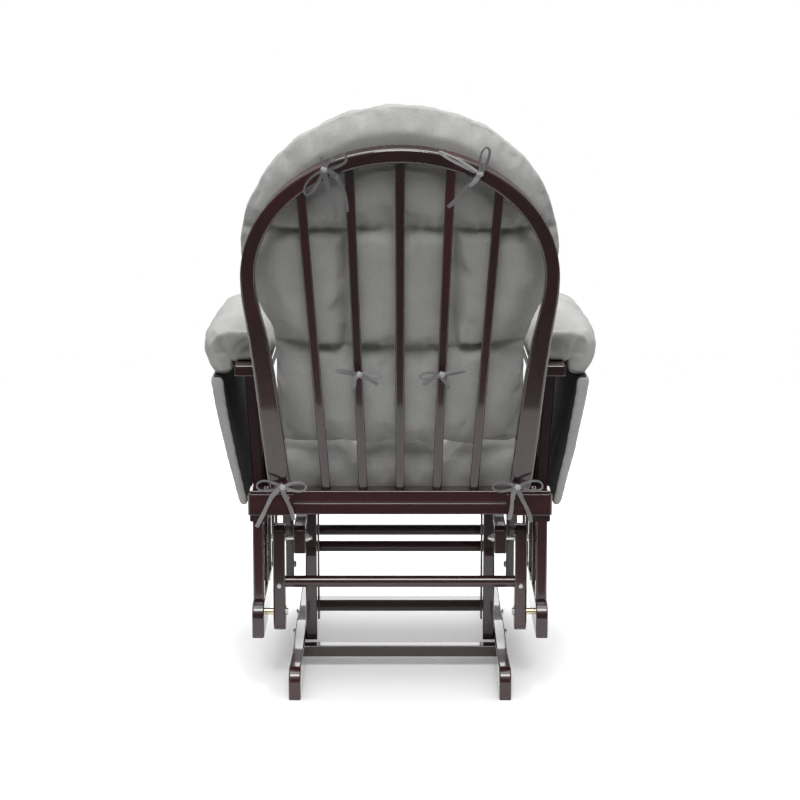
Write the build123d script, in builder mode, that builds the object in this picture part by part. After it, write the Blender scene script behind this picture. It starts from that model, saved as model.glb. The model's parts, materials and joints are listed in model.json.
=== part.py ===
"""Glider nursery chair: a fixed floor base carries four swinging links, and the seat hangs from the links.

Millimetres. +Z is up, the sitter faces -Y, and +X is the sitter's left. The parts are drawn from the middle of
the base, and saved with the origin on the floor under the middle of the whole chair. The seat glides along Y
as the links swing about the upper pins.
"""

import os
from math import cos, radians, sin

from build123d import *

os.makedirs("parts", exist_ok=True)

# --- driving dimensions -------------------------------------------------------------------------------------
BOARD = 20.0  # thickness of every flat hardwood board
EASE = 2.5  # rounding on the long edges of the boards
GAP = 0.05  # running clearance, radial, between a pin and its bush
MIDDLE_Y = 47.21  # the chair's depth is centred this far behind the middle of its base

# base, fixed to the floor
FOOT_IN, FOOT_HALF_LENGTH = 166.5, 292.0
FOOT_NOSE, NOSE_R = 28.0, 24.0
POST_IN = 146.5
POST_BOTTOM, POST_TOP = 38.0, 268.0
REAR_POST_Y, REAR_POST_DEPTH = 40.0, 40.0
FRONT_POST_Y, FRONT_POST_DEPTH = -90.5, 35.0
TOP_RAIL_IN = 160.5
TOP_RAIL_REAR, TOP_RAIL_FRONT = 196.0, -188.0
TOP_RAIL_LOW, TOP_RAIL_HIGH = 229.0, 275.0
REAR_STRETCHER_Y, REAR_STRETCHER_Z = (74.0, 100.0), (18.0, 38.0)
FRONT_STRETCHER_Y, FRONT_STRETCHER_Z = (-106.0, -76.0), (52.0, 73.0)
FRONT_DOWEL = (-91.0, 171.0)  # Y and Z of the dowel between the front posts
BASE_BOLT_Z = 46.0

# links
LINK_IN, LINK_THICK, LINK_WIDTH = 196.0, 20.5, 42.0
LINK_LOW, LINK_HIGH = 90.0, 274.0
PIN_HIGH, PIN_LOW = 250.0, 120.0
REAR_LINK_Y, FRONT_LINK_Y = 168.0, -160.0
CROSSBAR_R = 10.0
REAR_BAR_Z, FRONT_BAR_Z = 173.0, 185.0

# seat frame, which glides
OUTER_RAIL_IN = 228.5
OUTER_RAIL_REAR, OUTER_RAIL_FRONT = 261.0, -262.0
OUTER_RAIL_LOW, OUTER_RAIL_HIGH = 99.0, 157.0
SEAT_RAIL_IN, SEAT_RAIL_WIDE = 222.0, 30.0
SEAT_RAIL_LOW, SEAT_RAIL_HIGH = 293.0, 325.0
SEAT_FRONT, SEAT_REAR = -265.0, 232.0
SPINDLE = 20.0
SPINDLES_PER_SIDE = 5
RAIL_SPINDLE_REAR, RAIL_SPINDLE_PITCH = 222.0, 107.0
ARM_SPINDLE_REAR, ARM_SPINDLE_PITCH = 175.0, 95.0
ARM_LOW, ARM_HIGH = 543.0, 561.0
ARM_IN, ARM_OUT = 214.0, 274.0
ARM_REAR, ARM_FRONT = 248.0, -270.0
ARM_SPLAY = 14.0  # how far an arm spindle leans out over its height
BACK_RAIL_HIGH = 346.0
REAR_RAIL_FRONT, REAR_RAIL_LOW = 186.0, 305.0
BACK_RAIL_FRONT, BACK_RAIL_HALF = 192.0, 252.0
FRONT_RAIL_DEPTH = 30.0
PLATE_THICK, PLATE_HIGH = 8.0, 342.0
PLATE_IN, PLATE_OUT = 178.0, 255.0
CORNER_BOLT_X, CORNER_BOLT_Z = 188.6, 336.0

# reclined back
RECLINE = 15.0
HOOP_THICK = 28.0
SLAT_WIDE, SLAT_THICK = 15.0, 12.0
HOOP_WIDEST = 380.0  # height up the back where the crown ellipse starts
CROWN_OUT = (257.0, 221.0)
CROWN_IN = (233.0, 197.0)

# cushions
CUSHION_CLEAR = 1.0
PANEL_TOP = 527.0  # where the pocket panel meets the padded roll

# fasteners
PIN_R, HEAD_R, HEAD_THICK, BUSH_R = 4.0, 6.5, 3.0, 8.0

SIDES = (("left", 1), ("right", -1))

# The plane of the back's rear face: X across, Y up the slope, normal towards the sitter.
back_plane = Plane(
    origin=(0, SEAT_REAR, BACK_RAIL_HIGH),
    x_dir=(1, 0, 0),
    z_dir=(0, -cos(radians(RECLINE)), sin(radians(RECLINE))),
)


def save(piece, name):
    """Label a finished piece and write it as the node of that name."""
    placed = piece.part.moved(Location((0, -MIDDLE_Y, 0)))
    placed.label = name
    export_step(placed, f"parts/{name}.step")


def low_x(sign, inner, thickness):
    """Lowest X of a board whose inner face is `inner` from the middle, on the side that sign says."""
    return inner if sign > 0 else -inner - thickness


def slab(x, y, z):
    """A block between two limits in each direction, eased on its long edges."""
    size = (x[1] - x[0], y[1] - y[0], z[1] - z[0])
    middle = ((x[0] + x[1]) / 2, (y[0] + y[1]) / 2, (z[0] + z[1]) / 2)
    long_axis = (Axis.X, Axis.Y, Axis.Z)[size.index(max(size))]
    with BuildPart() as piece:
        with Locations(middle):
            Box(*size)
        fillet(piece.edges().filter_by(long_axis), EASE)
    return piece


def side_board(points, sign, inner, thickness=BOARD, nose=12.0):
    """A board cut to a side profile of (Y, Z) points, with rounded corners and eased faces."""
    with BuildPart() as piece:
        with BuildSketch(Plane.YZ.offset(low_x(sign, inner, thickness))) as profile:
            with BuildLine():
                Polyline(*points, close=True)
            make_face()
            fillet(profile.vertices().group_by(Axis.Y)[-1], nose)
        extrude(amount=thickness)
        ends = piece.faces().filter_by(Axis.X)
        fillet(ends.edges(), EASE)
    return piece


def rods(spots, radius, length, plane_x):
    """Rods along X: one at each (Y, Z) spot, from plane_x towards +X."""
    with BuildPart() as group:
        with BuildSketch(Plane.YZ.offset(plane_x)):
            with Locations(*spots):
                Circle(radius)
        extrude(amount=length)
    return group


# --- base ---------------------------------------------------------------------------------------------------
for side, sign in SIDES:
    foot_x = low_x(sign, FOOT_IN, BOARD)
    with BuildPart() as foot_rail:
        with BuildSketch(Plane.YZ.offset(foot_x)):
            with BuildLine():
                shoulder = FOOT_HALF_LENGTH - NOSE_R
                crest = FOOT_NOSE + NOSE_R
                nose = CenterArc((shoulder, FOOT_NOSE), NOSE_R, 0, 90)
                top = Spline(
                    (shoulder, crest),
                    (110, crest - 4),
                    (0, crest + 4),
                    (-110, crest - 4),
                    (-shoulder, crest),
                    tangents=((-1, 0), (-1, 0)),
                )
                CenterArc((-shoulder, FOOT_NOSE), NOSE_R, 90, 90)
                Polyline(
                    (-FOOT_HALF_LENGTH, FOOT_NOSE),
                    (-FOOT_HALF_LENGTH, 0),
                    (FOOT_HALF_LENGTH, 0),
                    (FOOT_HALF_LENGTH, FOOT_NOSE),
                )
            make_face()
        extrude(amount=BOARD)
        fillet(foot_rail.faces().filter_by(Axis.X).edges(), EASE)
    save(foot_rail, f"{side}_foot_rail")

    for place, y, depth in (
        ("rear", REAR_POST_Y, REAR_POST_DEPTH),
        ("front", FRONT_POST_Y, FRONT_POST_DEPTH),
    ):
        post_x = low_x(sign, POST_IN, BOARD)
        with BuildPart() as post:
            with Locations((post_x + BOARD / 2, y, (POST_BOTTOM + POST_TOP) / 2)):
                Box(BOARD, depth, POST_TOP - POST_BOTTOM)
            fillet(post.edges().filter_by(Axis.Z), EASE)
            # the top is halved over the top rail
            rail_x = low_x(sign, TOP_RAIL_IN, BOARD)
            with Locations((rail_x + BOARD / 2, y, (TOP_RAIL_LOW + TOP_RAIL_HIGH) / 2)):
                Box(BOARD, depth + 2, TOP_RAIL_HIGH - TOP_RAIL_LOW, mode=Mode.SUBTRACT)
        save(post, f"{side}_{place}_post")

    top_rail = side_board(
        (
            (TOP_RAIL_FRONT, TOP_RAIL_LOW),
            (TOP_RAIL_REAR, TOP_RAIL_LOW),
            (TOP_RAIL_REAR, TOP_RAIL_HIGH),
            (TOP_RAIL_FRONT, TOP_RAIL_HIGH),
        ),
        sign,
        TOP_RAIL_IN,
    )
    with BuildPart() as bored_rail:
        add(top_rail.part)
        with BuildSketch(Plane.YZ.offset(low_x(sign, TOP_RAIL_IN, BOARD))):
            with Locations((REAR_LINK_Y, PIN_HIGH), (FRONT_LINK_Y, PIN_HIGH)):
                Circle(PIN_R)
        extrude(amount=BOARD, mode=Mode.SUBTRACT)
    save(bored_rail, f"{side}_top_rail")

save(slab((-FOOT_IN, FOOT_IN), REAR_STRETCHER_Y, REAR_STRETCHER_Z), "rear_floor_stretcher")
save(slab((-POST_IN, POST_IN), FRONT_STRETCHER_Y, FRONT_STRETCHER_Z), "front_lower_stretcher")
save(rods([FRONT_DOWEL], CROSSBAR_R, 2 * POST_IN, -POST_IN), "front_upper_dowel")

# button-head bolts through the foot rails into the posts, two heads on each side
with BuildPart() as base_bolts:
    for _, sign in SIDES:
        foot_out = FOOT_IN + BOARD
        with BuildSketch(Plane.YZ.offset(foot_out if sign > 0 else -foot_out)):
            with Locations((REAR_POST_Y, BASE_BOLT_Z), (FRONT_POST_Y, BASE_BOLT_Z)):
                Circle(HEAD_R)
        extrude(amount=sign * HEAD_THICK, taper=20)
save(base_bolts, "base_bolts")

# shoulder bolts: shank through the top rail, gap and link bush, and a head outside the link
LINK_OUT = LINK_IN + LINK_THICK
pin_spots = [(REAR_LINK_Y, PIN_HIGH), (FRONT_LINK_Y, PIN_HIGH)]
NUT_THICK = 4.0
SHANK_END = LINK_OUT + 0.5
with BuildPart() as upper_pins:
    for _, sign in SIDES:
        with BuildSketch(Plane.YZ.offset(sign * (TOP_RAIL_IN - NUT_THICK))):
            with Locations(*pin_spots):
                Circle(PIN_R)
        extrude(amount=sign * (SHANK_END - TOP_RAIL_IN + NUT_THICK))
        with BuildSketch(Plane.YZ.offset(sign * SHANK_END)):
            with Locations(*pin_spots):
                Circle(HEAD_R)
        extrude(amount=sign * HEAD_THICK, taper=15)
save(upper_pins, "upper_pins")

# dome nuts on the inner faces of the top rails
DOME = 6.0
with BuildPart() as upper_nuts:
    for _, sign in SIDES:
        with BuildSketch(Plane.YZ.offset(sign * TOP_RAIL_IN)):
            with Locations(*pin_spots):
                RegularPolygon(6.5, 6)
                Circle(PIN_R, mode=Mode.SUBTRACT)
        extrude(amount=-sign * NUT_THICK)
        with BuildSketch(Plane.YZ.offset(sign * (TOP_RAIL_IN - NUT_THICK))):
            with Locations(*pin_spots):
                Circle(5.4)
        extrude(amount=-sign * DOME, taper=22)
save(upper_nuts, "upper_nuts")


# --- links --------------------------------------------------------------------------------------------------
def build_links(place, y, bar_z):
    """One pair of links with its crossbar and its four bushes."""
    for side, sign in SIDES:
        link_x = low_x(sign, LINK_IN, LINK_THICK)
        with BuildPart() as link:
            with BuildSketch(Plane.YZ.offset(link_x)):
                with Locations((y, (LINK_LOW + LINK_HIGH) / 2)):
                    RectangleRounded(LINK_WIDTH, LINK_HIGH - LINK_LOW, 13)
            extrude(amount=LINK_THICK)
            fillet(link.faces().filter_by(Axis.X).edges(), EASE)
            with BuildSketch(Plane.YZ.offset(link_x)):
                with Locations((y, PIN_HIGH), (y, PIN_LOW)):
                    Circle(BUSH_R)
            extrude(amount=LINK_THICK, mode=Mode.SUBTRACT)
        save(link, f"{side}_{place}_link")

    save(rods([(y, bar_z)], CROSSBAR_R, 2 * LINK_IN, -LINK_IN), f"{place}_crossbar")

    with BuildPart() as bushes:
        for _, sign in SIDES:
            with BuildSketch(Plane.YZ.offset(low_x(sign, LINK_IN, LINK_THICK))):
                with Locations((y, PIN_HIGH), (y, PIN_LOW)):
                    Circle(BUSH_R)
                    Circle(PIN_R + GAP, mode=Mode.SUBTRACT)
            extrude(amount=LINK_THICK)
    save(bushes, f"{place}_link_bushes")


build_links("rear", REAR_LINK_Y, REAR_BAR_Z)
build_links("front", FRONT_LINK_Y, FRONT_BAR_Z)

# screws through the rear edges of the rear links into the crossbar's ends
with BuildPart() as link_screws:
    with BuildSketch(Plane.XZ.offset(-(REAR_LINK_Y + LINK_WIDTH / 2))):
        with Locations(*[(sign * (LINK_IN + LINK_THICK / 2), REAR_BAR_Z - 3) for _, sign in SIDES]):
            Circle(4.2)
    extrude(amount=-2.4, taper=18)
save(link_screws, "rear_link_screws")

# --- seat frame ---------------------------------------------------------------------------------------------
for side, sign in SIDES:
    outer_rail = side_board(
        (
            (OUTER_RAIL_FRONT, OUTER_RAIL_LOW),
            (OUTER_RAIL_REAR, OUTER_RAIL_LOW),
            (OUTER_RAIL_REAR, OUTER_RAIL_HIGH),
            (OUTER_RAIL_FRONT, OUTER_RAIL_HIGH),
        ),
        sign,
        OUTER_RAIL_IN,
        nose=24.0,
    )
    with BuildPart() as bored_outer:
        add(outer_rail.part)
        with BuildSketch(Plane.YZ.offset(low_x(sign, OUTER_RAIL_IN, BOARD))):
            with Locations((REAR_LINK_Y, PIN_LOW), (FRONT_LINK_Y, PIN_LOW)):
                Circle(PIN_R)
        extrude(amount=BOARD, mode=Mode.SUBTRACT)
    save(bored_outer, f"{side}_outer_rail")

    # upright spindles between the outer rail and the seat rail
    spindle_x = sign * (OUTER_RAIL_IN + BOARD / 2)
    spindle_height = SEAT_RAIL_LOW - OUTER_RAIL_HIGH
    with BuildPart() as rail_spindles:
        for i in range(SPINDLES_PER_SIDE):
            y = RAIL_SPINDLE_REAR - i * RAIL_SPINDLE_PITCH
            with Locations((spindle_x, y, OUTER_RAIL_HIGH + spindle_height / 2)):
                Box(SPINDLE - 1, SPINDLE, spindle_height)
        fillet(rail_spindles.edges().filter_by(Axis.Z), 4)
    save(rail_spindles, f"{side}_rail_spindles")

    rail_x = low_x(sign, SEAT_RAIL_IN, SEAT_RAIL_WIDE)
    seat_rail = slab(
        (rail_x, rail_x + SEAT_RAIL_WIDE), (SEAT_FRONT, SEAT_REAR), (SEAT_RAIL_LOW, SEAT_RAIL_HIGH)
    )
    save(seat_rail, f"{side}_seat_rail")

    # arm board: a long plate with a rounded front
    with BuildPart() as arm:
        with BuildSketch(Plane.XY.offset(ARM_LOW)) as plan:
            with Locations((sign * (ARM_IN + ARM_OUT) / 2, (ARM_REAR + ARM_FRONT) / 2)):
                Rectangle(ARM_OUT - ARM_IN, ARM_REAR - ARM_FRONT)
            fillet(plan.vertices().group_by(Axis.Y)[0], 30)
            fillet(plan.vertices().group_by(Axis.Y)[-1], 4)
        extrude(amount=ARM_HIGH - ARM_LOW)
        fillet(arm.faces().filter_by(Axis.Z).edges(), EASE)
    save(arm, f"{side}_arm")

    # arm spindles lean outwards from the seat rail to the arm
    low_out, high_out = 248.0, 248.0 + ARM_SPLAY
    with BuildPart() as arm_spindles:
        for i in range(SPINDLES_PER_SIDE):
            y = ARM_SPINDLE_REAR - i * ARM_SPINDLE_PITCH
            with BuildSketch(Plane.XZ.offset(-(y + SPINDLE / 2))):
                with BuildLine():
                    Polyline(
                        (sign * (low_out - SPINDLE), SEAT_RAIL_HIGH),
                        (sign * low_out, SEAT_RAIL_HIGH),
                        (sign * high_out, ARM_LOW),
                        (sign * (high_out - SPINDLE), ARM_LOW),
                        close=True,
                    )
                make_face()
            extrude(amount=SPINDLE)
        lengthwise = arm_spindles.edges().filter_by(lambda e: e.length > ARM_LOW - SEAT_RAIL_HIGH - 1)
        fillet(lengthwise, 4)
    save(arm_spindles, f"{side}_arm_spindles")

    # corner plate over the joint of the rear rails, bolted through the back
    with BuildPart() as corner_plate:
        with BuildSketch(Plane.XY.offset(REAR_RAIL_LOW)) as plan:
            with Locations((sign * (PLATE_IN + PLATE_OUT) / 2, SEAT_REAR + PLATE_THICK / 2)):
                Rectangle(PLATE_OUT - PLATE_IN, PLATE_THICK)
            outer_corner = plan.vertices().group_by(Axis.Y)[-1].sort_by(Axis.X)[-1 if sign > 0 else 0]
            fillet(outer_corner, 6)
        extrude(amount=PLATE_HIGH - REAR_RAIL_LOW)
        fillet(corner_plate.faces().sort_by(Axis.Y)[-1].edges().filter_by(Axis.X), 2)
    save(corner_plate, f"{side}_corner_plate")

between_rails = (-SEAT_RAIL_IN, SEAT_RAIL_IN)
front_y = (SEAT_FRONT, SEAT_FRONT + FRONT_RAIL_DEPTH)
rear_z = (REAR_RAIL_LOW, SEAT_RAIL_HIGH)
back_rail_y = (BACK_RAIL_FRONT, SEAT_REAR)
back_rail_z = (SEAT_RAIL_HIGH, BACK_RAIL_HIGH)
save(slab(between_rails, front_y, (SEAT_RAIL_LOW, SEAT_RAIL_HIGH)), "front_seat_rail")
save(slab(between_rails, (REAR_RAIL_FRONT, SEAT_REAR), rear_z), "rear_seat_rail")
save(slab((-BACK_RAIL_HALF, BACK_RAIL_HALF), back_rail_y, back_rail_z), "back_rail")

# four boards across the seat, housed between the seat rails, carry the cushion
DECK_BOARDS, DECK_WIDE, DECK_THICK = 4, 60.0, 12.0
with BuildPart() as seat_deck:
    with Locations((0, -25, SEAT_RAIL_HIGH - DECK_THICK / 2)):
        with GridLocations(0, 100, 1, DECK_BOARDS):
            Box(2 * SEAT_RAIL_IN, DECK_WIDE, DECK_THICK)
    fillet(seat_deck.edges().filter_by(Axis.X), 2)
save(seat_deck, "seat_deck_boards")

with BuildPart() as corner_bolts:
    with BuildSketch(Plane.XZ.offset(-(SEAT_REAR + PLATE_THICK))):
        with Locations((CORNER_BOLT_X, CORNER_BOLT_Z), (-CORNER_BOLT_X, CORNER_BOLT_Z)):
            Circle(4.5)
    extrude(amount=-2.5, taper=18)
save(corner_bolts, "corner_bolts")

# seat-side pins: shank from the head inside the link to a nut outside the outer rail
lower_spots = [(REAR_LINK_Y, PIN_LOW), (FRONT_LINK_Y, PIN_LOW)]
with BuildPart() as lower_pins:
    for _, sign in SIDES:
        with BuildSketch(Plane.YZ.offset(sign * (LINK_IN - 0.5))):
            with Locations(*lower_spots):
                Circle(PIN_R)
        extrude(amount=sign * (OUTER_RAIL_IN + BOARD + NUT_THICK - LINK_IN + 0.5))
        with BuildSketch(Plane.YZ.offset(sign * (LINK_IN - 0.5))):
            with Locations(*lower_spots):
                Circle(HEAD_R)
        extrude(amount=-sign * HEAD_THICK, taper=15)
save(lower_pins, "lower_pins")

with BuildPart() as lower_spacers:
    for _, sign in SIDES:
        with BuildSketch(Plane.YZ.offset(sign * (LINK_OUT + 0.4))):
            with Locations(*lower_spots):
                Circle(PIN_R + 1.6)
                Circle(PIN_R, mode=Mode.SUBTRACT)
        extrude(amount=sign * (OUTER_RAIL_IN - LINK_OUT - 0.4))
save(lower_spacers, "lower_spacers")

with BuildPart() as lower_nuts:
    for _, sign in SIDES:
        with BuildSketch(Plane.YZ.offset(sign * (OUTER_RAIL_IN + BOARD))):
            with Locations(*lower_spots):
                RegularPolygon(6.5, 6)
                Circle(PIN_R, mode=Mode.SUBTRACT)
        extrude(amount=sign * NUT_THICK)
save(lower_nuts, "lower_nuts")

# --- reclined back ------------------------------------------------------------------------------------------
BELOW = -14.0  # the legs start below the rail's top and are trimmed flush with it


def hoop_edge(foot, knee, shoulder, widest, rise):
    """One edge of the bent hoop: a leg that leans out, half an ellipse, and the other leg."""
    leg = Spline(
        (foot[0], foot[1]),
        (knee[0], knee[1]),
        (shoulder[0], shoulder[1]),
        (widest, HOOP_WIDEST),
        tangents=((0.09, 1), (0, 1)),
    )
    crown = EllipticalCenterArc((0, HOOP_WIDEST), widest, rise, start_angle=0, arc_size=180)
    mirror(leg, about=Plane.YZ)
    return leg, crown


with BuildPart() as trim:
    with Locations((0, SEAT_REAR, BACK_RAIL_HIGH - 50)):
        Box(600, 200, 100)

with BuildPart() as hoop:
    with BuildSketch(back_plane) as rim:
        with BuildLine():
            outer_leg, _ = hoop_edge((218.7, BELOW), (232, 125), (248, 285), *CROWN_OUT)
            Line(outer_leg @ 0, (-218.7, BELOW))
        make_face()
        with BuildLine():
            inner_leg, _ = hoop_edge((181.6, BELOW), (196, 125), (219, 285), *CROWN_IN)
            Line(inner_leg @ 0, (-181.6, BELOW))
        make_face(mode=Mode.SUBTRACT)
    extrude(amount=HOOP_THICK)
    fillet(hoop.edges().filter_by(lambda e: e.length > 100), 5)
    add(trim.part, mode=Mode.SUBTRACT)
save(hoop, "back_hoop")

# five slats fan out from the rail to the hoop's crown
slat_lines = ((-124, -160, 545), (-62, -80.4, 580), (0, 0, 590), (62, 80.4, 580), (124, 160, 545))
for number, (low_mid, high_mid, height) in enumerate(slat_lines, start=1):
    slope = (high_mid - low_mid) / 566
    top_mid = low_mid + slope * height
    foot_mid = low_mid + slope * BELOW
    with BuildPart() as slat:
        with BuildSketch(back_plane.offset(8)):
            with BuildLine():
                Polyline(
                    (foot_mid - SLAT_WIDE / 2, BELOW),
                    (foot_mid + SLAT_WIDE / 2, BELOW),
                    (top_mid + SLAT_WIDE / 2, height),
                    (top_mid - SLAT_WIDE / 2, height),
                    close=True,
                )
            make_face()
        extrude(amount=SLAT_THICK)
        fillet(slat.edges().filter_by(lambda e: e.length > 200), 3)
        add(hoop.part, mode=Mode.SUBTRACT)
        add(trim.part, mode=Mode.SUBTRACT)
    save(slat, f"back_slat_{number}")

# --- cushions -----------------------------------------------------------------------------------------------
with BuildPart() as seat_cushion:
    with Locations((0, -45, SEAT_RAIL_HIGH + CUSHION_CLEAR + 50)):
        Box(436, 470, 100)
    fillet(seat_cushion.edges().filter_by(Axis.Z), 40)
    fillet(seat_cushion.faces().filter_by(Axis.Z).edges(), 22)
save(seat_cushion, "seat_cushion")

BACK_CUSHION_THICK = 92.0
with BuildPart() as back_cushion:
    with BuildSketch(back_plane.offset(HOOP_THICK + CUSHION_CLEAR)):
        with BuildLine():
            flank = Spline((198, 80), (206, 190), (210, 262), (243, 335), (259, 405), tangents=((0.1, 1), (0, 1)))
            EllipticalCenterArc((0, 405), 259, 250, start_angle=0, arc_size=180)
            mirror(flank, about=Plane.YZ)
            Line(flank @ 0, (-198, 80))
        make_face()
    extrude(amount=BACK_CUSHION_THICK)
    fillet(back_cushion.edges().filter_by(lambda e: e.length > 60), 24)
save(back_cushion, "back_cushion")

for side, sign in SIDES:
    # padded roll over the arm board
    with BuildPart() as arm_pad:
        with BuildSketch(Plane.XZ.offset(-200)) as roll:
            with BuildLine():
                # from the inner edge over the board, down the arch beside it, and round the outside
                Polyline(
                    (sign * 218, ARM_HIGH + 1),
                    (sign * 272, ARM_HIGH + 1),
                    (sign * 286, 554),
                    (sign * 295, 541),
                    (sign * 298, PANEL_TOP + 1),
                    (sign * 319, PANEL_TOP + 1),
                    (sign * 331, 566),
                    (sign * 333, 590),
                    (sign * 322, 609),
                    (sign * 290, 619),
                    (sign * 250, 621),
                    (sign * 226, 614),
                    (sign * 215, 594),
                    close=True,
                )
            make_face()
        extrude(amount=462)
    save(arm_pad, f"{side}_arm_pad")

    # pocket panel that hangs from the roll outside the spindles
    with BuildPart() as pocket:
        with BuildSketch(Plane.XZ.offset(-200)) as panel:
            with BuildLine():
                Polyline(
                    (sign * 256, 313),
                    (sign * 270, 313),
                    (sign * 318, PANEL_TOP),
                    (sign * 297, PANEL_TOP),
                    close=True,
                )
            make_face()
        extrude(amount=440)
    save(pocket, f"{side}_arm_pocket")

# --- fabric ties --------------------------------------------------------------------------------------------
# Each tie is a flat bow on the rear of the frame: a knot, two loops and two hanging tails.
TIE = 4.0
SLACK = 1.0  # the bow stands off the wood by this much
TIE_REACH = 26.0  # from the knot to the end of a loop
tie_plane = back_plane.offset(-SLACK - TIE)
rail_plane = Plane(
    origin=(0, SEAT_REAR + PLATE_THICK + 3 + SLACK + TIE, BACK_RAIL_HIGH),
    x_dir=(1, 0, 0),
    z_dir=(0, -1, 0),
)
tie_sets = (
    ("hoop_ties", tie_plane, ((128, 560), (-136, 552))),
    ("slat_ties", tie_plane, ((68, 232), (-69, 232))),
    ("seat_ties", rail_plane, ((196, 10), (-196, 10))),
)
for name, plane, knots in tie_sets:
    with BuildPart() as bows:
        with BuildSketch(plane):
            with Locations(*knots):
                Rectangle(2 * TIE_REACH, 11)
                with Locations((0, -30)):
                    Rectangle(14, 50)
        extrude(amount=TIE)
    save(bows, name)
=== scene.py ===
"""Looks of the glider nursery chair: lacquered wood, grey cushions, arm pads with side pockets, and ties.

Metres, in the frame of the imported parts: +Z up, the sitter faces -Y, +X is the sitter's left, and the origin
is on the floor in the middle of the base.
"""

import json
from math import cos, exp, pi, radians, sin

import bmesh
import bpy
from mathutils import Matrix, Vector, noise


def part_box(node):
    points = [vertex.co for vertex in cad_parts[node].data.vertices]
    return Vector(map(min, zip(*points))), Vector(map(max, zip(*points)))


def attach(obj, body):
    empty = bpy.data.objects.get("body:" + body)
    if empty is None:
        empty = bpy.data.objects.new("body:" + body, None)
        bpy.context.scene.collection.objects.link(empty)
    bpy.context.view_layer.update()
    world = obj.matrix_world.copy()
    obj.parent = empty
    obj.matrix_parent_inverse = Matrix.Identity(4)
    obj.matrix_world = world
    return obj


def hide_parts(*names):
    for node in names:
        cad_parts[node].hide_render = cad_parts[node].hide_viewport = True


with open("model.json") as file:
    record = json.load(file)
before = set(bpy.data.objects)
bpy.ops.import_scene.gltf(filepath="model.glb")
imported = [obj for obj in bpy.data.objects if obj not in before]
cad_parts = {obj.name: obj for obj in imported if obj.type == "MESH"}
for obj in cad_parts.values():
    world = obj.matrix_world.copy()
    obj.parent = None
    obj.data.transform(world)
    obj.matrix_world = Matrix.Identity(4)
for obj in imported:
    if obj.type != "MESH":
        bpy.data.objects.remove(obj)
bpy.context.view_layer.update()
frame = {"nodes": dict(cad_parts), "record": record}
nodes = frame["nodes"]
SIDES = (("left", 1), ("right", -1))

# --- camera, floor and light --------------------------------------------------------------------------------
camera_data = bpy.data.cameras.new("camera")
camera_data.lens = 103.5
camera_data.sensor_width = 36
camera = bpy.data.objects.new("camera", camera_data)
camera.location = (0, 3.9475, 1.1845)
camera.rotation_euler = (radians(90 - 10.3), 0, radians(180))
bpy.context.collection.objects.link(camera)
scene = bpy.context.scene
scene.camera = camera
scene.view_settings.view_transform = "Standard"


def new_piece(name, mesh):
    """Wrap a mesh in an object at the origin."""
    piece = bpy.data.objects.new(name, mesh)
    bpy.context.collection.objects.link(piece)
    return piece


def finished_mesh(work, name, smooth=True):
    """Turn a bmesh into a named piece with outward normals."""
    bmesh.ops.recalc_face_normals(work, faces=work.faces[:])
    mesh = bpy.data.meshes.new(name)
    work.to_mesh(mesh)
    work.free()
    mesh.shade_smooth() if smooth else mesh.shade_flat()
    return new_piece(name, mesh)


FLOOR_SIZE = 3.6
FLOOR_NEAR = 0.80
floor_work = bmesh.new()
bmesh.ops.create_grid(floor_work, x_segments=1, y_segments=1, size=FLOOR_SIZE / 2)
bmesh.ops.translate(floor_work, verts=floor_work.verts[:], vec=(0, FLOOR_NEAR - FLOOR_SIZE / 2, 0))
floor = finished_mesh(floor_work, "floor")


def soft_light(name, energy, size, place, aim):
    """An area light at a place, turned to a point."""
    data = bpy.data.lights.new(name, "AREA")
    data.energy = energy
    data.size = size
    light = bpy.data.objects.new(name, data)
    light.location = place
    light.rotation_euler = (Vector(aim) - Vector(place)).to_track_quat("-Z", "Y").to_euler()
    bpy.context.collection.objects.link(light)


SEAT_MIDDLE = (0, 0, 0.5)
soft_light("overhead", 62, 2.6, (0, -0.2, 3.4), SEAT_MIDDLE)
soft_light("front", 34, 2.2, (0, -3.2, 2.0), SEAT_MIDDLE)
soft_light("rear", 95, 1.6, (0, 3.0, 4.2), SEAT_MIDDLE)


def light_room(strength_level, strength_up):
    """A white backdrop for the camera, and a room that is darker at eye level than overhead for the rest."""
    world = bpy.data.worlds.new("studio")
    scene.world = world
    world.use_nodes = True
    tree = world.node_tree
    backdrop = tree.nodes["Background"]
    backdrop.inputs["Color"].default_value = (1, 1, 1, 1)
    room = tree.nodes.new("ShaderNodeBackground")
    direction = tree.nodes.new("ShaderNodeSeparateXYZ")
    tree.links.new(tree.nodes.new("ShaderNodeTexCoord").outputs["Generated"], direction.inputs[0])
    level = tree.nodes.new("ShaderNodeMapRange")
    level.inputs["From Min"].default_value = 0.35
    level.inputs["From Max"].default_value = 0.95
    level.inputs["To Min"].default_value = strength_level
    level.inputs["To Max"].default_value = strength_up
    tree.links.new(direction.outputs["Z"], level.inputs["Value"])
    tree.links.new(level.outputs["Result"], room.inputs["Strength"])
    choose = tree.nodes.new("ShaderNodeMixShader")
    tree.links.new(tree.nodes.new("ShaderNodeLightPath").outputs["Is Camera Ray"], choose.inputs["Fac"])
    tree.links.new(room.outputs[0], choose.inputs[1])
    tree.links.new(backdrop.outputs[0], choose.inputs[2])
    tree.links.new(choose.outputs[0], tree.nodes["World Output"].inputs["Surface"])


light_room(0.20, 1.9)


# --- shader helpers -----------------------------------------------------------------------------------------
def effect(name, inputs, outputs):
    """A shader node group with named sockets. Returns the group, its input node and its output node."""
    group = bpy.data.node_groups.new(name, "ShaderNodeTree")
    for label, kind, value in inputs:
        socket = group.interface.new_socket(label, in_out="INPUT", socket_type=kind)
        socket.default_value = value
    for label, kind in outputs:
        group.interface.new_socket(label, in_out="OUTPUT", socket_type=kind)
    return group, group.nodes.new("NodeGroupInput"), group.nodes.new("NodeGroupOutput")


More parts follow.
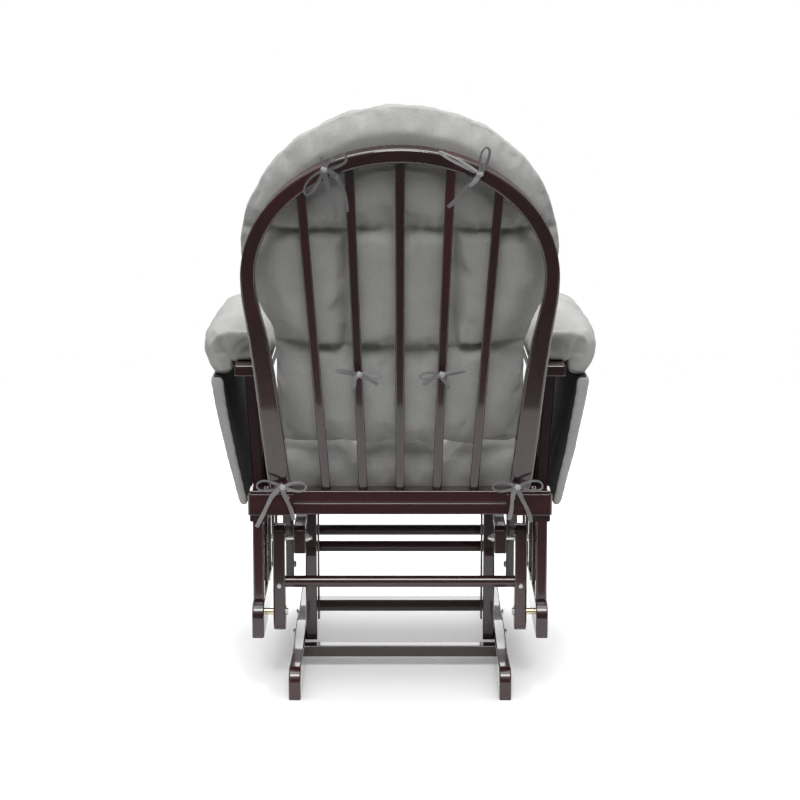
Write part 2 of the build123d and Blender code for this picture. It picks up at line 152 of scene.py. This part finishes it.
def add_node(tree, kind, values=None, links=None, **settings):
    """A node with its settings, socket values and incoming links."""
    node = tree.nodes.new(kind)
    for key, value in settings.items():
        setattr(node, key, value)
    for key, value in (values or {}).items():
        node.inputs[key].default_value = value
    for key, source in (links or {}).items():
        tree.links.new(source, node.inputs[key])
    return node


FLOAT, COLOR, VECTOR = "NodeSocketFloat", "NodeSocketColor", "NodeSocketVector"


def make_grain():
    """Straight grain: long streaks and fine pores along the board, as a mask and a height."""
    group, given, out = effect(
        "wood_grain",
        [("Vector", VECTOR, (0, 0, 0)), ("Stretch", VECTOR, (1, 1, 1))],
        [("Streaks", FLOAT), ("Pores", FLOAT)],
    )
    stretched = add_node(
        group,
        "ShaderNodeVectorMath",
        links={0: given.outputs["Vector"], 1: given.outputs["Stretch"]},
        operation="MULTIPLY",
    )
    streaks = add_node(
        group,
        "ShaderNodeTexNoise",
        {"Scale": 9.0, "Detail": 6.0, "Roughness": 0.62, "Distortion": 0.6},
        {"Vector": stretched.outputs[0]},
    )
    pores = add_node(
        group,
        "ShaderNodeTexNoise",
        {"Scale": 60.0, "Detail": 3.0, "Roughness": 0.7},
        {"Vector": stretched.outputs[0]},
    )
    group.links.new(streaks.outputs["Fac"], out.inputs["Streaks"])
    group.links.new(pores.outputs["Fac"], out.inputs["Pores"])
    return group


def make_weave():
    """Plain weave: warp and weft threads crossing, as a height, with a soft mottle as a mask."""
    group, given, out = effect(
        "plain_weave",
        [("Vector", VECTOR, (0, 0, 0)), ("Threads", FLOAT, 900.0)],
        [("Height", FLOAT), ("Mottle", FLOAT), ("Slub", FLOAT)],
    )
    waves = []
    for direction in "X", "Z", "Y":
        wave = add_node(
            group,
            "ShaderNodeTexWave",
            {"Distortion": 0.6, "Detail": 1.0, "Detail Scale": 2.0},
            {"Vector": given.outputs["Vector"], "Scale": given.outputs["Threads"]},
            bands_direction=direction,
        )
        waves.append(wave.outputs["Fac"])
    first = add_node(group, "ShaderNodeMath", links={0: waves[0], 1: waves[1]}, operation="ADD")
    height = add_node(group, "ShaderNodeMath", links={0: first.outputs[0], 1: waves[2]}, operation="ADD")
    mottle = add_node(
        group,
        "ShaderNodeTexNoise",
        {"Scale": 14.0, "Detail": 5.0, "Roughness": 0.55},
        {"Vector": given.outputs["Vector"]},
    )
    slub = add_node(
        group,
        "ShaderNodeTexNoise",
        {"Scale": 260.0, "Detail": 2.0},
        {"Vector": given.outputs["Vector"]},
    )
    group.links.new(height.outputs[0], out.inputs["Height"])
    group.links.new(mottle.outputs["Fac"], out.inputs["Mottle"])
    group.links.new(slub.outputs["Fac"], out.inputs["Slub"])
    return group


GRAIN, WEAVE = make_grain(), make_weave()


def new_material(name, **constants):
    """A material with a Principled BSDF whose plain values are set on its own sockets."""
    material = bpy.data.materials.new(name)
    material.use_nodes = True
    tree = material.node_tree
    shader = tree.nodes["Principled BSDF"]
    for key, value in constants.items():
        shader.inputs[key.replace("_", " ")].default_value = value
    return material, tree, shader


def place_group(tree, group, values=None, links=None):
    """A group node in a material, with its own values."""
    node = tree.nodes.new("ShaderNodeGroup")
    node.node_tree = group
    for key, value in (values or {}).items():
        node.inputs[key].default_value = value
    for key, source in (links or {}).items():
        tree.links.new(source, node.inputs[key])
    return node


def ramp(tree, source, stops):
    """A colour ramp over (position, colour) stops."""
    node = tree.nodes.new("ShaderNodeValToRGB")
    points = node.color_ramp.elements
    while len(points) < len(stops):
        points.new(0.5)
    for point, (position, colour) in zip(points, stops):
        point.position = position
        point.color = (*colour, 1)
    tree.links.new(source, node.inputs["Fac"])
    return node.outputs["Color"]


def bump(tree, shader, height, distance, strength=1.0):
    """Feed a height into the shader's normal."""
    node = add_node(
        tree, "ShaderNodeBump", {"Distance": distance, "Strength": strength}, {"Height": height}
    )
    tree.links.new(node.outputs["Normal"], shader.inputs["Normal"])


def lacquered_wood(name, stretch):
    """Dark espresso stain under gloss lacquer, with the grain along the stretched-out axis."""
    material, tree, shader = new_material(
        name, IOR=1.5, Coat_Weight=1.0, Coat_Roughness=0.06, Specular_IOR_Level=0.35
    )
    place = tree.nodes.new("ShaderNodeTexCoord").outputs["Object"]
    grain = place_group(tree, GRAIN, {"Stretch": stretch}, {"Vector": place})
    colour = ramp(
        tree,
        grain.outputs["Streaks"],
        [(0.32, (0.012, 0.0016, 0.0024)), (0.52, (0.024, 0.0035, 0.005)), (0.75, (0.046, 0.007, 0.010))],
    )
    tree.links.new(colour, shader.inputs["Base Color"])
    rough = ramp(tree, grain.outputs["Pores"], [(0.3, (0.34,) * 3), (0.7, (0.24,) * 3)])
    tree.links.new(rough, shader.inputs["Roughness"])
    bump(tree, shader, grain.outputs["Pores"], 0.0002, 0.35)
    return material


ALONG = {"x": (0.05, 1, 1), "y": (1, 0.05, 1), "z": (1, 1, 0.05)}
WOOD = {axis: lacquered_wood(f"lacquered_wood_{axis}", stretch) for axis, stretch in ALONG.items()}


def woven_cloth(name, dark, light, threads=900.0, sheen=0.25):
    """Woven fabric: mottled colour, slubs and a thread bump."""
    material, tree, shader = new_material(
        name, Roughness=0.92, Sheen_Weight=sheen, Sheen_Roughness=0.5, Specular_IOR_Level=0.2
    )
    place = tree.nodes.new("ShaderNodeTexCoord").outputs["Object"]
    weave = place_group(tree, WEAVE, {"Threads": threads}, {"Vector": place})
    mixed = add_node(
        tree,
        "ShaderNodeMix",
        {"Factor": 0.4},
        {"A": weave.outputs["Mottle"], "B": weave.outputs["Slub"]},
    )
    colour = ramp(tree, mixed.outputs["Result"], [(0.35, dark), (0.65, light)])
    tree.links.new(colour, shader.inputs["Base Color"])
    bump(tree, shader, weave.outputs["Height"], 0.0004, 0.5)
    return material


GREY_CLOTH = woven_cloth("grey_cloth", (0.35, 0.35, 0.34), (0.44, 0.44, 0.425))
TIE_CLOTH = woven_cloth("tie_cloth", (0.42, 0.41, 0.42), (0.54, 0.53, 0.54), threads=1400.0)
LINING = woven_cloth("dark_lining", (0.010, 0.010, 0.011), (0.022, 0.022, 0.024), sheen=0.1)


def bare_metal(name, tint, roughness):
    """Plated metal with faint turning marks and tarnish."""
    material, tree, shader = new_material(name, Metallic=1.0)
    place = tree.nodes.new("ShaderNodeTexCoord").outputs["Object"]
    grain = place_group(tree, GRAIN, {"Stretch": (8, 8, 8)}, {"Vector": place})
    dull = tuple(0.7 * c for c in tint)
    tree.links.new(
        ramp(tree, grain.outputs["Streaks"], [(0.3, dull), (0.6, tint)]), shader.inputs["Base Color"]
    )
    rough = ramp(tree, grain.outputs["Pores"], [(0.3, (roughness,) * 3), (0.7, (roughness + 0.12,) * 3)])
    tree.links.new(rough, shader.inputs["Roughness"])
    return material


ZINC = bare_metal("bright_zinc", (0.86, 0.85, 0.83), 0.22)
BRASS = bare_metal("pale_brass", (0.86, 0.76, 0.55), 0.28)
NYLON, nylon_tree, nylon_shader = new_material("nylon", Roughness=0.5)
nylon_noise = add_node(nylon_tree, "ShaderNodeTexNoise", {"Scale": 400.0})
nylon_tree.links.new(
    ramp(nylon_tree, nylon_noise.outputs["Fac"], [(0.3, (0.70, 0.67, 0.60)), (0.7, (0.78, 0.76, 0.70))]),
    nylon_shader.inputs["Base Color"],
)

# the floor is pale and nearly matte, and glows a little so that it stays white to the horizon
FLOOR_PAINT, floor_tree, floor_shader = new_material("floor_paint", Roughness=0.8, Emission_Strength=0.22)
floor_shader.inputs["Emission Color"].default_value = (1, 1, 1, 1)
floor_noise = add_node(floor_tree, "ShaderNodeTexNoise", {"Scale": 3.0})
floor_tree.links.new(
    ramp(floor_tree, floor_noise.outputs["Fac"], [(0.3, (0.80,) * 3), (0.7, (0.82,) * 3)]),
    floor_shader.inputs["Base Color"],
)
floor.data.materials.append(FLOOR_PAINT)


def paint(piece, *materials):
    """Give a piece its materials, in slot order."""
    piece.data.materials.clear()
    for material in materials:
        piece.data.materials.append(material)


# --- finishes of the fixed parts ----------------------------------------------------------------------------
def longest_axis(name):
    """The axis along which a part is longest, which is where its grain runs."""
    low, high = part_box(name)
    size = high - low
    return "xyz"[max(range(3), key=lambda i: size[i])]


FINISH = {"plated_steel": ZINC, "brass_parts": BRASS, "nylon": NYLON}
part_slots = {row["node"]: row["material_slot"] for row in frame["record"]["subparts"]}
for name, slot in part_slots.items():
    if slot == "stained_wood":
        upright = "spindles" in name or "slat_" in name or name == "back_hoop"
        paint(nodes[name], WOOD["z" if upright else longest_axis(name)])
    elif slot in FINISH:
        paint(nodes[name], FINISH[slot])


# --- soft goods: helpers ------------------------------------------------------------------------------------
RECLINE = radians(15)
rail_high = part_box("back_rail")[1]
back_foot = Vector((0, rail_high.y, rail_high.z))  # where the back's rear face meets its rail
UP_BACK = Vector((0, sin(RECLINE), cos(RECLINE)))
INTO_BACK = Vector((0, -cos(RECLINE), sin(RECLINE)))


def to_back(point):
    """A point as (across, up the back, forward of its rear face)."""
    step = point - back_foot
    return Vector((step.x, step.dot(UP_BACK), step.dot(INTO_BACK)))


def from_back(place):
    """The point that lies across, up and forward of the back's rear face."""
    return back_foot + Vector((place[0], 0, 0)) + UP_BACK * place[1] + INTO_BACK * place[2]


def dip(distance, width):
    """A smooth dip: 1 on the line, 0 far from it."""
    return exp(-((distance / width) ** 2))


def smooth_step(value, low, high):
    """0 below low, 1 above high, smooth between."""
    t = min(1.0, max(0.0, (value - low) / (high - low)))
    return t * t * (3 - 2 * t)


def copy_of(node, name, voxel):
    """A CAD solid's mesh, merged and remeshed evenly, as a new piece."""
    work = bmesh.new()
    work.from_mesh(nodes[node].data)
    bmesh.ops.remove_doubles(work, verts=work.verts[:], dist=1e-5)
    piece = finished_mesh(work, name)
    remesh = piece.modifiers.new("even", "REMESH")
    remesh.mode = "VOXEL"
    remesh.voxel_size = voxel
    keep_result(piece)
    return piece


def keep_result(piece):
    """Replace a piece's mesh by what its modifiers make of it, and drop them."""
    bpy.context.view_layer.update()
    graph = bpy.context.evaluated_depsgraph_get()
    result = bpy.data.meshes.new_from_object(piece.evaluated_get(graph))
    piece.modifiers.clear()
    piece.data = result
    result.shade_smooth()


LAST_FRAME = 20


def inflate(piece, held, pressure, grow, cap, stiffness=12.0):
    """Blow a closed form up as cloth. held(vertex) is how firmly a vertex stays; grow adds slack cloth."""
    start = [v.co.copy() for v in piece.data.vertices]
    group = piece.vertex_groups.new(name="held")
    for vertex in piece.data.vertices:
        weight = held(vertex.co)
        if weight > 0.01:
            group.add([vertex.index], weight, "REPLACE")
    cloth = piece.modifiers.new("cloth", "CLOTH")
    settings = cloth.settings
    settings.quality = 6
    settings.mass = 0.25
    settings.tension_stiffness = stiffness
    settings.compression_stiffness = stiffness
    settings.shear_stiffness = stiffness / 2
    settings.bending_stiffness = 0.4
    settings.use_pressure = True
    settings.uniform_pressure_force = pressure
    settings.shrink_min = -grow
    settings.shrink_max = -grow
    settings.vertex_group_mass = "held"
    settings.effector_weights.gravity = 0
    cloth.collision_settings.use_collision = False
    cloth.point_cache.frame_start = 1
    cloth.point_cache.frame_end = LAST_FRAME
    for step in range(1, LAST_FRAME + 1):
        scene.frame_set(step)
    keep_result(piece)
    scene.frame_set(1)
    for vertex, first in zip(piece.data.vertices, start):
        move = vertex.co - first
        if move.length > cap:
            vertex.co = first + move * (cap / move.length)


def shape_with(piece, rule):
    """Move each vertex to where rule(point) says."""
    for vertex in piece.data.vertices:
        vertex.co = rule(vertex.co.copy())
    piece.data.update()


def relax(piece, rounds, factor=0.5):
    """Smooth the surface evenly."""
    work = bmesh.new()
    work.from_mesh(piece.data)
    for _ in range(rounds):
        bmesh.ops.smooth_vert(
            work, verts=work.verts[:], factor=factor, use_axis_x=True, use_axis_y=True, use_axis_z=True
        )
    work.to_mesh(piece.data)
    work.free()


def refine(piece):
    """One level of subdivision, kept."""
    smoother = piece.modifiers.new("smooth", "SUBSURF")
    smoother.levels = 1
    smoother.render_levels = 1
    keep_result(piece)


# --- back cushion -------------------------------------------------------------------------------------------
CUSHION_MIDDLE = 0.075  # depth of the cushion's middle in front of the hoop's rear face
CUSHION_HALF = 0.046
CUSHION_FOOT = 0.080
CROWN_TRIM = 0.975  # room for the crown to swell
CROWN_FOOT, CROWN_WIDE, CROWN_RISE = 0.405, 0.259, 0.246
SEAM_ACROSS = (0.247, 0.449)  # heights up the back of the sewn lines that run across
SEAM_UP = 0.088  # the two sewn lines that run up between them
HOOP_FRONT = 0.0295


def rim_distance(x, up):
    """Roughly how far inside the cushion's outline a place is."""
    if up > CROWN_FOOT:
        reach = ((x / CROWN_WIDE) ** 2 + ((up - CROWN_FOOT) / CROWN_RISE) ** 2) ** 0.5
        return (1 - reach) * 0.25
    side = 0.203 + 0.056 * smooth_step(up, 0.25, CROWN_FOOT)
    return min(side - abs(x), up - CUSHION_FOOT)


def seam_depth(x, up):
    """How deep the sewn lines pull the cushion in at a place, from 0 to 1."""
    across = max(dip(up - line, 0.007) for line in SEAM_ACROSS)
    between = smooth_step(up, SEAM_ACROSS[0] - 0.01, SEAM_ACROSS[0] + 0.01)
    between *= 1 - smooth_step(up, SEAM_ACROSS[1] - 0.01, SEAM_ACROSS[1] + 0.01)
    along = dip(abs(x) - SEAM_UP, 0.0065) * between
    return max(across, along)


def cushion_before(point):
    """Slim the slab towards its rim and its sewn lines before it is blown up."""
    x, up, depth = to_back(point)
    inside = max(0.0, rim_distance(x, up))
    crown = 0.30 + 0.70 * smooth_step(inside, 0.0, 0.085)
    pinch = 1 - 0.42 * seam_depth(x, up)
    depth = CUSHION_MIDDLE + (depth - CUSHION_MIDDLE) * crown * pinch
    outwards = Vector((x, up - 0.36)).normalized()
    ripple = noise.noise(Vector((x * 26, up * 26, 4)))
    scallop = 0.003 * ripple * dip(inside, 0.025)
    up = CROWN_FOOT + (up - CROWN_FOOT) * CROWN_TRIM if up > CROWN_FOOT else up
    return from_back((x + scallop * outwards.x, up + scallop * outwards.y, depth))


def cushion_held(point):
    """The rim and the sewn lines stay, and the panels between them fill."""
    x, up, depth = to_back(point)
    inside = rim_distance(x, up)
    rim = dip(max(0.0, inside), 0.006) * dip(depth - CUSHION_MIDDLE, 0.008)
    return min(1.0, max(rim, seam_depth(x, up) ** 2))


def creases(point, size):
    """Uneven folds in slack cloth: long in one direction, short in the other."""
    slant = Vector((point.x * 26 + point.z * 9, point.y * 14, point.z * 15 - point.x * 8))
    long_folds = noise.noise(slant)
    cross = Vector((point.x * 17 - point.z * 20, point.y * 12 + 7, point.z * 11 + point.x * 15))
    cross_folds = noise.noise(cross)
    ridge = 1 - abs(long_folds) * 2.6
    ridge_two = 1 - abs(cross_folds) * 2.6
    return size * (0.55 * max(-0.6, ridge) + 0.45 * max(-0.6, ridge_two) - 0.4)


def cushion_after(point):
    """Puckers along the seams, slack folds, and the space that the frame leaves."""
    x, up, depth = to_back(point)
    side = 1 if depth > CUSHION_MIDDLE else -1
    fold = creases(Vector((x, side * 0.3, up)), 0.0050)
    near_seam = min(abs(up - line) for line in SEAM_ACROSS)
    pucker = 0.0022 * sin(2 * pi * x / 0.021 + 3 * noise.noise(Vector((x * 20, up * 9, side)))) * dip(
        near_seam, 0.022
    )
    inside = smooth_step(rim_distance(x, up), -0.01, 0.06)
    depth += side * (fold + pucker) * inside
    depth += side * -0.004 * seam_depth(x, up)
    # the lower edge tucks down behind the seat cushion
    tuck = smooth_step(0.17 - up, 0.0, 0.09)
    rearness = smooth_step(CUSHION_MIDDLE + 0.03 - depth, 0.0, 0.07)
    up -= 0.034 * tuck * rearness
    # it rests on the hoop round its edge and swells a little between the slats
    hoop_in = 0.175 + 0.045 * smooth_step(up, 0.1, 0.36)
    if up > 0.380:
        hoop_in = 0.215 * max(0.0, 1 - ((up - 0.380) / 0.182) ** 2) ** 0.5
    free = smooth_step(hoop_in - abs(x), 0.0, 0.012)
    least = HOOP_FRONT - 0.006 * free
    if up < 0.62 and depth < least + 0.004:
        depth = least + 0.004 * exp((depth - least - 0.004) / 0.012)
    return from_back((x, up, depth))


back_cushion = copy_of("back_cushion", "padded_back_cushion", 0.006)
shape_with(back_cushion, cushion_before)
inflate(back_cushion, cushion_held, pressure=5.0, grow=0.05, cap=0.030)
relax(back_cushion, 1)
shape_with(back_cushion, cushion_after)
refine(back_cushion)
paint(back_cushion, GREY_CLOTH)
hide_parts("back_cushion")
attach(back_cushion, "seat")

# --- seat cushion -------------------------------------------------------------------------------------------
seat_low, seat_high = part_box("seat_cushion")
seat_middle = (seat_low + seat_high) / 2
SEAT_SEAM_X = 0.075
SEAT_SEAMS_Y = (seat_middle.y - 0.080, seat_middle.y + 0.080)


def seat_seam(point):
    """How deep the sewn lines pull the seat cushion in at a place, from 0 to 1."""
    lengthwise = dip(abs(point.x) - SEAT_SEAM_X, 0.010)
    across = max(dip(point.y - line, 0.010) for line in SEAT_SEAMS_Y)
    return max(lengthwise, across)


def seat_before(point):
    """Slim the block towards its edges and sewn lines before it is blown up."""
    inside = min(seat_high.x - abs(point.x), point.y - seat_low.y, seat_high.y - point.y)
    crown = 0.45 + 0.5 * smooth_step(inside, 0.0, 0.07)
    pinch = 1 - 0.4 * seat_seam(point)
    if point.z > seat_middle.z:
        point.z = seat_middle.z + (point.z - seat_middle.z) * crown * pinch
    return point


def seat_held(point):
    """The underside rests on the boards, and the sewn lines stay down."""
    return min(1.0, max(seat_seam(point) ** 2, 0.9 if point.z < seat_low.z + 0.008 else 0))


def seat_after(point):
    """Slack folds on the top and sides, and clear of the boards under it."""
    up = smooth_step(point.z, seat_low.z + 0.01, seat_middle.z)
    point.z += creases(Vector((point.x, 0.9, point.y)), 0.004) * up
    point.z = max(point.z, seat_low.z)
    point.y = min(point.y, seat_high.y + 0.011)
    point.x = max(-0.2195, min(0.2195, point.x))
    return point


seat_cushion = copy_of("seat_cushion", "padded_seat_cushion", 0.007)
shape_with(seat_cushion, seat_before)
inflate(seat_cushion, seat_held, pressure=4.0, grow=0.04, cap=0.024)
relax(seat_cushion, 1)
shape_with(seat_cushion, seat_after)
refine(seat_cushion)
paint(seat_cushion, GREY_CLOTH)
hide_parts("seat_cushion")
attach(seat_cushion, "seat")

# --- arm pads -----------------------------------------------------------------------------------------------
for side, sign in SIDES:
    pad_low, pad_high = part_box(f"{side}_arm_pad")
    arm_low, arm_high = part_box(f"{side}_arm")
    arm_out = max(abs(arm_low.x), abs(arm_high.x))

    def pad_held(point):
        """The lining that lies on the arm board stays."""
        on_arm = abs(point.x) < arm_out + 0.004 and point.z < arm_high.z + 0.006
        beside_arm = point.z < arm_high.z and abs(point.x) < arm_out + 0.006
        return 1.0 if on_arm or beside_arm else 0.0

    def pad_before(point):
        """Start a little slimmer than the solid."""
        middle = Vector((sign * 0.27, point.y, 0.588))
        outer = 0.0 if pad_held(point) else 0.06
        end = min(point.y - pad_low.y, pad_high.y - point.y)
        outer += 0.16 * dip(end, 0.018)
        return point.lerp(middle, outer) if not pad_held(point) else point

    def pad_after(point):
        """Slack folds across the roll."""
        away = Vector((point.x - sign * 0.27, 0, point.z - 0.588))
        if pad_held(point) or away.length < 1e-4:
            return point
        fold = creases(Vector((point.y * 0.5, sign * 0.5, away.z)), 0.0030)
        return point + away.normalized() * fold

    arm_pad = copy_of(f"{side}_arm_pad", f"{side}_padded_arm", 0.005)
    shape_with(arm_pad, pad_before)
    inflate(arm_pad, pad_held, pressure=4.5, grow=0.05, cap=0.014)
    relax(arm_pad, 1)
    shape_with(arm_pad, pad_after)
    refine(arm_pad)
    paint(arm_pad, GREY_CLOTH)
    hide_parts(f"{side}_arm_pad")
    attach(arm_pad, "seat")

    # the pocket panel: outer cloth over a dark lining, tucked up into the roll
    panel = copy_of(f"{side}_arm_pocket", f"{side}_pocket_panel", 0.004)
    panel_low, panel_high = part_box(f"{side}_arm_pocket")
    panel_height = panel_high.z - panel_low.z

    def panel_after(point):
        """A thin quilted panel that bows a little, hangs unevenly at its hem and reaches into the roll."""
        share = (point.z - panel_low.z) / panel_height
        point.x += sign * 0.003 * sin(pi * share)
        point.x += sign * creases(Vector((point.y * 0.4, sign, point.z * 0.5)), 0.0022)
        point.z += 0.007 * smooth_step(share, 0.9, 1.0)
        return point

    shape_with(panel, panel_after)
    relax(panel, 3)
    refine(panel)
    paint(panel, GREY_CLOTH, LINING)
    for face in panel.data.polygons:
        if face.normal.x * sign < 0.2 and face.center.y < panel_high.y - 0.004:
            face.material_index = 1
    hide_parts(f"{side}_arm_pocket")
    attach(panel, "seat")

    # the pocket sewn on the panel: a patch whose mouth stands a little open, with a hem round it
    pocket_low_z, pocket_high_z = panel_low.z + 0.030, panel_low.z + 0.185
    pocket_rear, pocket_front = panel_high.y - 0.035, panel_low.y + 0.060
    patch_work = bmesh.new()
    bmesh.ops.create_grid(patch_work, x_segments=60, y_segments=30, size=0.5)
    for vertex in patch_work.verts:
        along = vertex.co.x + 0.5
        share = vertex.co.y + 0.5
        mouth_sag = 0.006 * sin(pi * along) * share
        z = pocket_low_z + (pocket_high_z - pocket_low_z) * share - mouth_sag
        y = pocket_rear + (pocket_front - pocket_rear) * along
        edge = min(along, 1 - along, share) * 2
        stand = 0.0055 + 0.0035 * smooth_step(edge, 0.0, 0.25) + 0.004 * share**3 * sin(pi * along)
        stand += creases(Vector((y * 0.6, sign * 2, z)), 0.0015) * smooth_step(edge, 0.0, 0.2)
        x = 0.270 + 0.204 * (z - panel_low.z) + 0.003 * sin(pi * (z - panel_low.z) / panel_height)
        vertex.co = Vector((sign * (x + stand - 0.0035), y, z))
    bmesh.ops.solidify(patch_work, geom=patch_work.faces[:], thickness=0.0022)
    patch = finished_mesh(patch_work, f"{side}_pocket")
    refine(patch)
    paint(patch, GREY_CLOTH)
    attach(patch, "seat")


# --- ties ---------------------------------------------------------------------------------------------------
TIE_HALF_WIDTH = 0.0029
TIE_THICK = 0.0009
KNOT_RADIUS = 0.0052


def strap(points, outwards, narrowing):
    """A flat strap along a smooth line through given points, with its face turned outwards."""
    line = bpy.data.curves.new("tie_line", "CURVE")
    line.dimensions = "3D"
    line.resolution_u = 8
    spline = line.splines.new("NURBS")
    spline.points.add(len(points) - 1)
    for knot, point in zip(spline.points, points):
        knot.co = (*point, 1)
    spline.order_u = 4
    spline.use_endpoint_u = True
    guide = new_piece("tie_line", line)
    bpy.context.view_layer.update()
    path = bpy.data.meshes.new_from_object(guide.evaluated_get(bpy.context.evaluated_depsgraph_get()))
    bpy.data.objects.remove(guide)
    strip = bmesh.new()
    strip.from_mesh(path)
    strip.verts.ensure_lookup_table()
    count = len(strip.verts)
    sideways = {}
    for i, vertex in enumerate(strip.verts):
        before, after = strip.verts[max(i - 1, 0)].co, strip.verts[min(i + 1, count - 1)].co
        across = (after - before).cross(outwards).normalized()
        width = TIE_HALF_WIDTH * narrowing(i / (count - 1))
        sideways[tuple(round(c, 6) for c in vertex.co)] = across * width
    edges = strip.edges[:]
    made = bmesh.ops.extrude_edge_only(strip, edges=edges)["geom"]
    far = {v for v in made if isinstance(v, bmesh.types.BMVert)}
    for vertex in strip.verts:
        step = sideways[tuple(round(c, 6) for c in vertex.co)]
        vertex.co += step if vertex in far else -step
    bmesh.ops.solidify(strip, geom=strip.faces[:], thickness=TIE_THICK)
    bmesh.ops.recalc_face_normals(strip, faces=strip.faces[:])
    mesh = bpy.data.meshes.new("strap")
    strip.to_mesh(mesh)
    strip.free()
    return mesh


def loop_width(share):
    """A loop is widest where it leaves the knot, and turns edge-on at its far end."""
    return 1 - 0.5 * sin(pi * share)


def tail_width(share):
    """A tail narrows as it twists towards its end."""
    return 1.35 - 0.3 * share + 0.12 * sin(9 * share)


def bow(name, centre, lay, loops, tails):
    """A tied bow: a knot, its loops and its tails, laid out by lay(across, up, out) round a centre."""
    work = bmesh.new()
    outwards = lay(0, 0, 1)
    for group, narrowing in ((loops, loop_width), (tails, tail_width)):
        for points in group:
            work.from_mesh(strap([centre + lay(*point) for point in points], outwards, narrowing))
    knot = bmesh.ops.create_uvsphere(work, u_segments=16, v_segments=12, radius=KNOT_RADIUS)["verts"]
    for vertex in knot:
        place = lay(vertex.co.x * 1.1, vertex.co.y, vertex.co.z * 0.65 + 0.0015)
        ridge = 1 + 0.09 * sin(vertex.co.y * 1300 + vertex.co.x * 500)
        vertex.co = centre + place * ridge
    piece = finished_mesh(work, name)
    paint(piece, TIE_CLOTH)
    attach(piece, "seat")
    return piece


def on_back(across, up, out):
    """A small step across, up and out of the reclined back."""
    return Vector((across, 0, 0)) + UP_BACK * up - INTO_BACK * out


def on_rail(across, up, out):
    """A small step across, up and rearwards from the upright rail."""
    return Vector((across, out, up))


def loop(reach, drop, width, lean=0.004):
    """A flat loop that leaves the knot, turns at its end and comes back."""
    turn = 1 if reach > 0 else -1
    return [
        (0, 0, 0.002),
        (reach * 0.35, drop * 0.3 + width * 0.55, lean),
        (reach * 0.8, drop * 0.8 + width * 0.75, lean * 1.5),
        (reach * 1.05, drop + width * 0.1, lean * 1.6),
        (reach * 0.9, drop * 1.1 - width * 0.65, lean * 1.2),
        (reach * 0.4, drop * 0.5 - width * 0.5, lean * 0.6),
        (turn * 0.001, 0, 0.0015),
    ]


def tail(across, down, sway=0.004):
    """A tail that hangs from the knot."""
    return [
        (0, 0, 0.002),
        (across * 0.25 + sway, -down * 0.12, 0.005),
        (across * 0.5 + sway * 0.5, -down * 0.4, 0.003),
        (across * 0.8 - sway * 0.4, -down * 0.72, 0.003),
        (across, -down, 0.002),
    ]


SEAT_KNOT_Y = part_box("left_corner_plate")[1].y + 0.0075
SLAT_KNOTS = ((0.0665, 0.217), (-0.0685, 0.217))


def raised(outline, base=0.002, lift=0.005):
    """Given (across, up) places of a loop or tail, which stands off the wood between its ends."""
    last = len(outline) - 1
    return [(x, up, base + lift * sin(pi * i / last)) for i, (x, up) in enumerate(outline)]



bow(
    "left_seat_bow",
    Vector((0.196, SEAT_KNOT_Y, 0.356)),
    on_rail,
    [loop(0.043, 0.003, 0.016), loop(-0.040, 0.001, 0.014)],
    [tail(0.044, 0.068), tail(-0.018, 0.056)],
)
bow(
    "right_seat_bow",
    Vector((-0.196, SEAT_KNOT_Y, 0.356)),
    on_rail,
    [loop(0.042, 0.001, 0.014), loop(-0.042, 0.003, 0.016)],
    [tail(0.014, 0.056), tail(-0.023, 0.060)],
)
for name, (across, up), turn in (
    ("left_slat_bow", SLAT_KNOTS[0], 1),
    ("right_slat_bow", SLAT_KNOTS[1], -1),
):
    bow(
        name,
        from_back((across, up, -0.004)),
        on_back,
        [loop(0.038 * turn, 0.008, 0.006), loop(-0.036 * turn, -0.002, 0.010)],
        [tail(-0.030 * turn, 0.018), tail(0.012 * turn, 0.026)],
    )
bow(
    "left_hoop_bow",
    from_back((0.119, 0.571, -0.005)),
    on_back,
    [
        raised(((0, 0), (-0.006, 0.013), (-0.020, 0.028), (-0.036, 0.027), (-0.038, 0.010), (-0.008, 0.0))),
        raised(((0, 0), (0.015, -0.006), (0.031, -0.022), (0.034, -0.043), (0.020, -0.044), (0.002, -0.006))),
        raised(((0, 0), (0.001, 0.007), (0.003, 0.014), (0.004, 0.020)), lift=0.001),
    ],
    [
        raised(((0, 0), (-0.003, -0.020), (-0.011, -0.045), (-0.019, -0.066), (-0.016, -0.086))),
        raised(((0, 0), (-0.018, -0.004), (-0.027, -0.025), (-0.034, -0.045), (-0.035, -0.071))),
    ],
)
bow(
    "right_hoop_bow",
    from_back((-0.1255, 0.563, -0.005)),
    on_back,
    [
        raised(((0, 0), (0.001, 0.018), (0.0, 0.038), (-0.010, 0.050), (-0.019, 0.038), (-0.004, 0.004))),
        raised(((0, 0), (0.018, 0.016), (0.046, 0.033), (0.072, 0.044), (0.058, 0.030), (0.008, 0.004))),
    ],
    [
        raised(((0, 0), (0.006, -0.008), (0.013, -0.016), (0.019, -0.020), (0.025, -0.027))),
        raised(((0, 0), (0.012, -0.010), (0.026, -0.026), (0.040, -0.046), (0.050, -0.055))),
    ],
)
for group in "hoop_ties", "slat_ties", "seat_ties":
    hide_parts(group)
